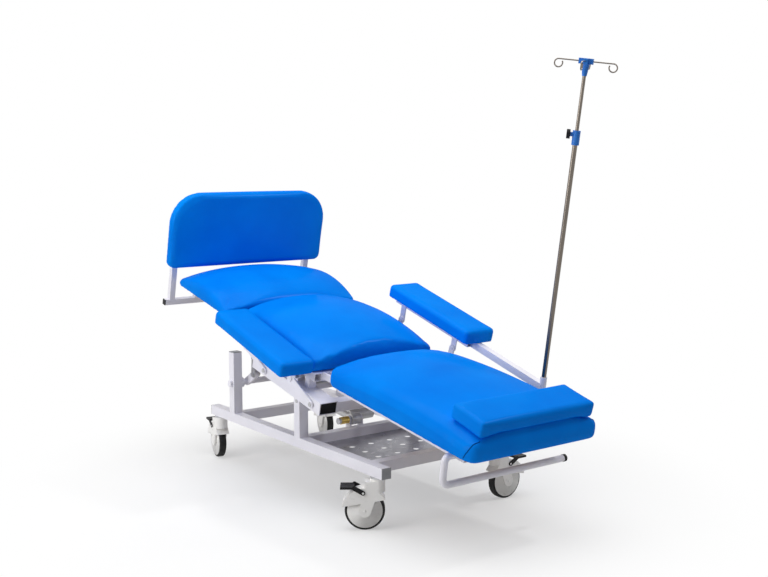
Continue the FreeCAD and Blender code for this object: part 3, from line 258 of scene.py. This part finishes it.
SQUARE_EDGES = (
    "base_rails", "base_cross_tubes", "base_posts", "base_caps", "seat_beams", "seat_subframe", "beam_caps",
    "back_frame", "leg_frame", "foot_frame", "foot_caps", "pole_arm",
)
REPLACED_SLOTS = ("upholstery", "caster_wheel")
for part in frame["record"]["subparts"]:
    slot = part["material_slot"]
    if slot not in REPLACED_SLOTS:
        dress(part["node"], SLOT_MATERIAL[slot], TUBE_EDGE if part["node"] in SQUARE_EDGES else 0.0)


# Soft pads: a remeshed copy of the solid, swollen by a short cloth run, held where it lies on its board
def add_piece(name, mesh, materials):
    mesh.materials.clear()
    for material in materials:
        mesh.materials.append(material)
    piece = bpy.data.objects.new(name, mesh)
    SCENE.collection.objects.link(piece)
    return piece


def apply_modifiers(piece):
    graph = bpy.context.evaluated_depsgraph_get()
    mesh = bpy.data.meshes.new_from_object(piece.evaluated_get(graph))
    piece.modifiers.clear()
    piece.data = mesh


def relax(piece, passes):
    smooth = piece.modifiers.new("relax", "SMOOTH")
    smooth.factor = SMOOTH_FACTOR
    smooth.iterations = passes
    apply_modifiers(piece)


def remesh(piece, voxel):
    grid = piece.modifiers.new("grid", "REMESH")
    grid.mode = "VOXEL"
    grid.voxel_size = voxel
    apply_modifiers(piece)


def swell(piece, down, held_depth, reach):
    rest = [v.co.copy() for v in piece.data.vertices]
    lowest = max(v.dot(down) for v in rest)
    held = piece.vertex_groups.new(name="held")
    held.add([i for i, v in enumerate(rest) if lowest - v.dot(down) < held_depth], 1.0, "ADD")
    cloth = piece.modifiers.new("cloth", "CLOTH")
    cloth.settings.use_pressure = True
    cloth.settings.uniform_pressure_force = CLOTH_PRESSURE
    cloth.settings.effector_weights.gravity = 0.0
    cloth.settings.vertex_group_mass = held.name
    cloth.settings.tension_stiffness = CLOTH_STIFFNESS
    cloth.settings.compression_stiffness = CLOTH_STIFFNESS
    cloth.settings.quality = CLOTH_QUALITY
    cloth.point_cache.frame_start = 1
    cloth.point_cache.frame_end = CLOTH_FRAMES
    for step in range(1, CLOTH_FRAMES + 1):
        SCENE.frame_set(step)
    apply_modifiers(piece)
    for vertex, start in zip(piece.data.vertices, rest):
        move = vertex.co - start
        if move.length > reach:
            vertex.co = start + move * (reach / move.length)
    relax(piece, EASE_PASSES)
    SCENE.frame_set(1)


def subdivide(piece):
    smooth_shaded(piece.data)
    smooth = piece.modifiers.new("smooth", "SUBSURF")
    smooth.levels = 1
    smooth.render_levels = 1
    apply_modifiers(piece)


def keep_width(piece, node):
    low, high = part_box(node)
    for vertex in piece.data.vertices:
        vertex.co.x = min(max(vertex.co.x, low[0]), high[0])


def pad(node, body, down, voxel, passes, reach, held_depth):
    piece = add_piece(node.replace("_pad", "") + "_upholstery", NODES[node].data.copy(), [LEATHER])
    remesh(piece, voxel)
    relax(piece, passes)
    swell(piece, down, held_depth, reach)
    subdivide(piece)
    keep_width(piece, node)
    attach(piece, body)
    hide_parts(node)
    return piece


# The back has the softest corners, and the slim pads keep their edges
SECTION = {"voxel": 0.007, "passes": 24, "reach": 0.004, "held_depth": 0.019}
BACK_SECTION = {**SECTION, "passes": 42}
BOARD = {"voxel": 0.006, "passes": 4, "reach": 0.003, "held_depth": 0.004}
SLIM = {"voxel": 0.005, "passes": 3, "reach": 0.002, "held_depth": 0.004}
PADS = (
    ("seat_pad", "seat", SEAT_DOWN, SECTION),
    ("back_pad", "back", BACK_DOWN, BACK_SECTION),
    ("leg_pad", "leg", SEAT_DOWN, SECTION),
    ("head_cushion", "back", BACK_DOWN, SLIM),
    ("foot_pad", "foot", FOOT_REAR, BOARD),
    ("armrest_pad_left", "arm_left", SEAT_DOWN, SLIM),
    ("armrest_pad_right", "arm_right", SEAT_DOWN, SLIM),
)
covers = {node: pad(node, body, down, **cover) for node, body, down, cover in PADS}


# Mitre seams, laid on the back cover from the head corners down to the underside; the seams are real, their dark
# colour is painted shade in the seam creases
def on_back(across, along, above):
    return BACK_HINGE + Vector((across, 0.0, 0.0)) + BACK_ALONG * along - BACK_DOWN * above


def seam(name, cover, start, end):
    skin = BVHTree.FromPolygons([v.co for v in cover.data.vertices],
                                [tuple(f.vertices) for f in cover.data.polygons])
    hits = [skin.find_nearest(start.lerp(end, i / SEAM_STEPS)) for i in range(SEAM_STEPS + 1)]
    line = [hit[0] for hit in hits]
    shape = bmesh.new()
    rings = []
    for i, at in enumerate(line):
        ahead = (line[min(i + 1, SEAM_STEPS)] - line[max(i - 1, 0)]).normalized()
        outward = hits[i][1]
        first = (outward - ahead * outward.dot(ahead)).normalized() * SEAM_RADIUS
        second = ahead.cross(first)
        turns = [2 * math.pi * k / SEAM_SIDES for k in range(SEAM_SIDES)]
        rings.append([shape.verts.new(at + first * math.cos(t) + second * math.sin(t)) for t in turns])
    for low, high in zip(rings, rings[1:]):
        for k in range(SEAM_SIDES):
            following = (k + 1) % SEAM_SIDES
            shape.faces.new((low[k], low[following], high[following], high[k]))
    shape.faces.new(rings[0][::-1])
    shape.faces.new(rings[-1])
    bmesh.ops.recalc_face_normals(shape, faces=shape.faces)
    mesh = bpy.data.meshes.new(name)
    shape.to_mesh(mesh)
    shape.free()
    smooth_shaded(mesh)
    piece = add_piece(name, mesh, [SEAM_SHADE])
    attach(piece, "back")


for side, tag in ((1, "left"), (-1, "right")):
    top, low = (on_back(side * across, along, above) for across, along, above in (SEAM_TOP, SEAM_LOW))
    seam("back_seam_" + tag, covers["back_pad"], top, low)


# Caster wheels: the node's solids become a white disc and a black tyre
def islands(shape):
    shape.faces.ensure_lookup_table()
    seen = set()
    groups = []
    for face in shape.faces:
        if face.index in seen:
            continue
        stack = [face]
        group = []
        seen.add(face.index)
        while stack:
            here = stack.pop()
            group.append(here)
            for other in (other for edge in here.edges for other in edge.link_faces):
                if other.index not in seen:
                    seen.add(other.index)
                    stack.append(other)
        groups.append(group)
    return groups


def height_of(faces):
    levels = [v.co.z for face in faces for v in face.verts]
    return max(levels) - min(levels)


def wheel(tag):
    node = "caster_wheel_" + tag
    piece = add_piece("wheel_" + tag, NODES[node].data.copy(), [WHITE, TYRE])
    shape = bmesh.new()
    shape.from_mesh(piece.data)
    bmesh.ops.remove_doubles(shape, verts=shape.verts, dist=WELD)
    groups = islands(shape)
    tyre = max(groups, key=height_of)
    for group in groups:
        for face in group:
            face.material_index = 1 if group is tyre else 0
            face.smooth = True
    shape.to_mesh(piece.data)
    shape.free()
    piece.data.set_sharp_from_angle(angle=WHEEL_SHARP_ANGLE)
    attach(piece, "wheel_" + tag)
    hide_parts(node)


for tag in ("near_left", "far_left", "near_right", "far_right"):
    wheel(tag)


# Floor and surroundings, white to the eye and in reflections
def seen_by_eye(tree):
    path = tree.nodes.new("ShaderNodeLightPath")
    seen = path.outputs["Is Camera Ray"]
    for ray in ("Is Glossy Ray", "Is Transmission Ray"):
        seen = two_inputs(tree, "MAXIMUM", seen, path.outputs[ray])
    return seen


def floor_tint(tree, place):
    clouds = noise(tree, place, scale=0.6, detail=2.0)
    path = tree.nodes.new("ShaderNodeLightPath")
    tint = tree.nodes.new("ShaderNodeMix")
    tint.data_type = "RGBA"
    tree.links.new(path.outputs["Is Diffuse Ray"], tint.inputs["Factor"])
    for socket, (low, high) in ((MIX_FIRST, FLOOR_PALE), (MIX_SECOND, FLOOR_DIM)):
        tree.links.new(ramp(tree, clouds, grey(low), grey(high)), tint.inputs[socket])
    return tint.outputs[MIX_RESULT]


def floor_ring(tree, place):
    distance = tree.nodes.new("ShaderNodeVectorMath")
    distance.operation = "LENGTH"
    tree.links.new(place.outputs["Object"], distance.inputs[0])
    ring = tree.nodes.new("ShaderNodeMapRange")
    ring.interpolation_type = "SMOOTHSTEP"
    ring.inputs["From Min"].default_value, ring.inputs["From Max"].default_value = FLOOR_RING
    ring.inputs["To Min"].default_value = FLOOR_WHITE_MIDDLE
    tree.links.new(distance.outputs["Value"], ring.inputs["Value"])
    return ring.outputs["Result"]


def floor_material():
    material, tree, shader = node_tree("studio_floor")
    place = tree.nodes.new("ShaderNodeTexCoord")
    tree.links.new(floor_tint(tree, place), shader.inputs["Base Color"])
    shader.inputs["Roughness"].default_value = 0.9
    shader.inputs["Specular IOR Level"].default_value = 0.0
    white = tree.nodes.new("ShaderNodeEmission")
    white.inputs["Color"].default_value = (1.0, 1.0, 1.0, 1.0)
    white.inputs["Strength"].default_value = 1.0
    mixed = tree.nodes.new("ShaderNodeMixShader")
    share = two_inputs(tree, "MULTIPLY", floor_ring(tree, place), seen_by_eye(tree))
    tree.links.new(share, mixed.inputs["Fac"])
    tree.links.new(shader.outputs["BSDF"], mixed.inputs[1])
    tree.links.new(white.outputs["Emission"], mixed.inputs[2])
    tree.links.new(mixed.outputs["Shader"], tree.nodes["Material Output"].inputs["Surface"])
    return material


def studio_floor():
    bpy.ops.mesh.primitive_grid_add(x_subdivisions=2, y_subdivisions=2, size=FLOOR_SIZE)
    floor = bpy.context.object
    floor.name = "studio_floor"
    floor.data.materials.append(floor_material())


def world_light():
    world = bpy.data.worlds.new("studio")
    world.use_nodes = True
    SCENE.world = world
    tree = world.node_tree
    background = tree.nodes["Background"]
    background.inputs["Color"].default_value = (1.0, 1.0, 1.0, 1.0)
    level = tree.nodes.new("ShaderNodeMapRange")
    level.inputs["To Min"].default_value = AMBIENT
    level.inputs["To Max"].default_value = 1.0
    tree.links.new(seen_by_eye(tree), level.inputs["Value"])
    tree.links.new(level.outputs["Result"], background.inputs["Strength"])


# Lamps and camera
def lamp(name, place, target, size, power):
    data = bpy.data.lights.new(name, "AREA")
    data.shape = "RECTANGLE"
    data.size = size
    data.size_y = size
    data.energy = power
    light = bpy.data.objects.new(name, data)
    SCENE.collection.objects.link(light)
    light.location = place
    light.rotation_euler = (Vector(target) - Vector(place)).to_track_quat("-Z", "Y").to_euler()


def photo_camera():
    data = bpy.data.cameras.new("camera")
    data.sensor_width = CAMERA_SENSOR
    data.sensor_fit = "HORIZONTAL"
    data.lens = CAMERA_LENS
    camera = bpy.data.objects.new("camera", data)
    SCENE.collection.objects.link(camera)
    look = Vector((math.sin(CAMERA_YAW) * math.cos(CAMERA_PITCH),
                   -math.cos(CAMERA_YAW) * math.cos(CAMERA_PITCH),
                   -math.sin(CAMERA_PITCH)))
    camera.location = CAMERA_AT
    camera.rotation_euler = look.to_track_quat("-Z", "Y").to_euler()
    SCENE.camera = camera


studio_floor()
world_light()
for name, settings in LAMPS.items():
    lamp(name, *settings)
photo_camera()
SCENE.view_settings.view_transform = "Standard"
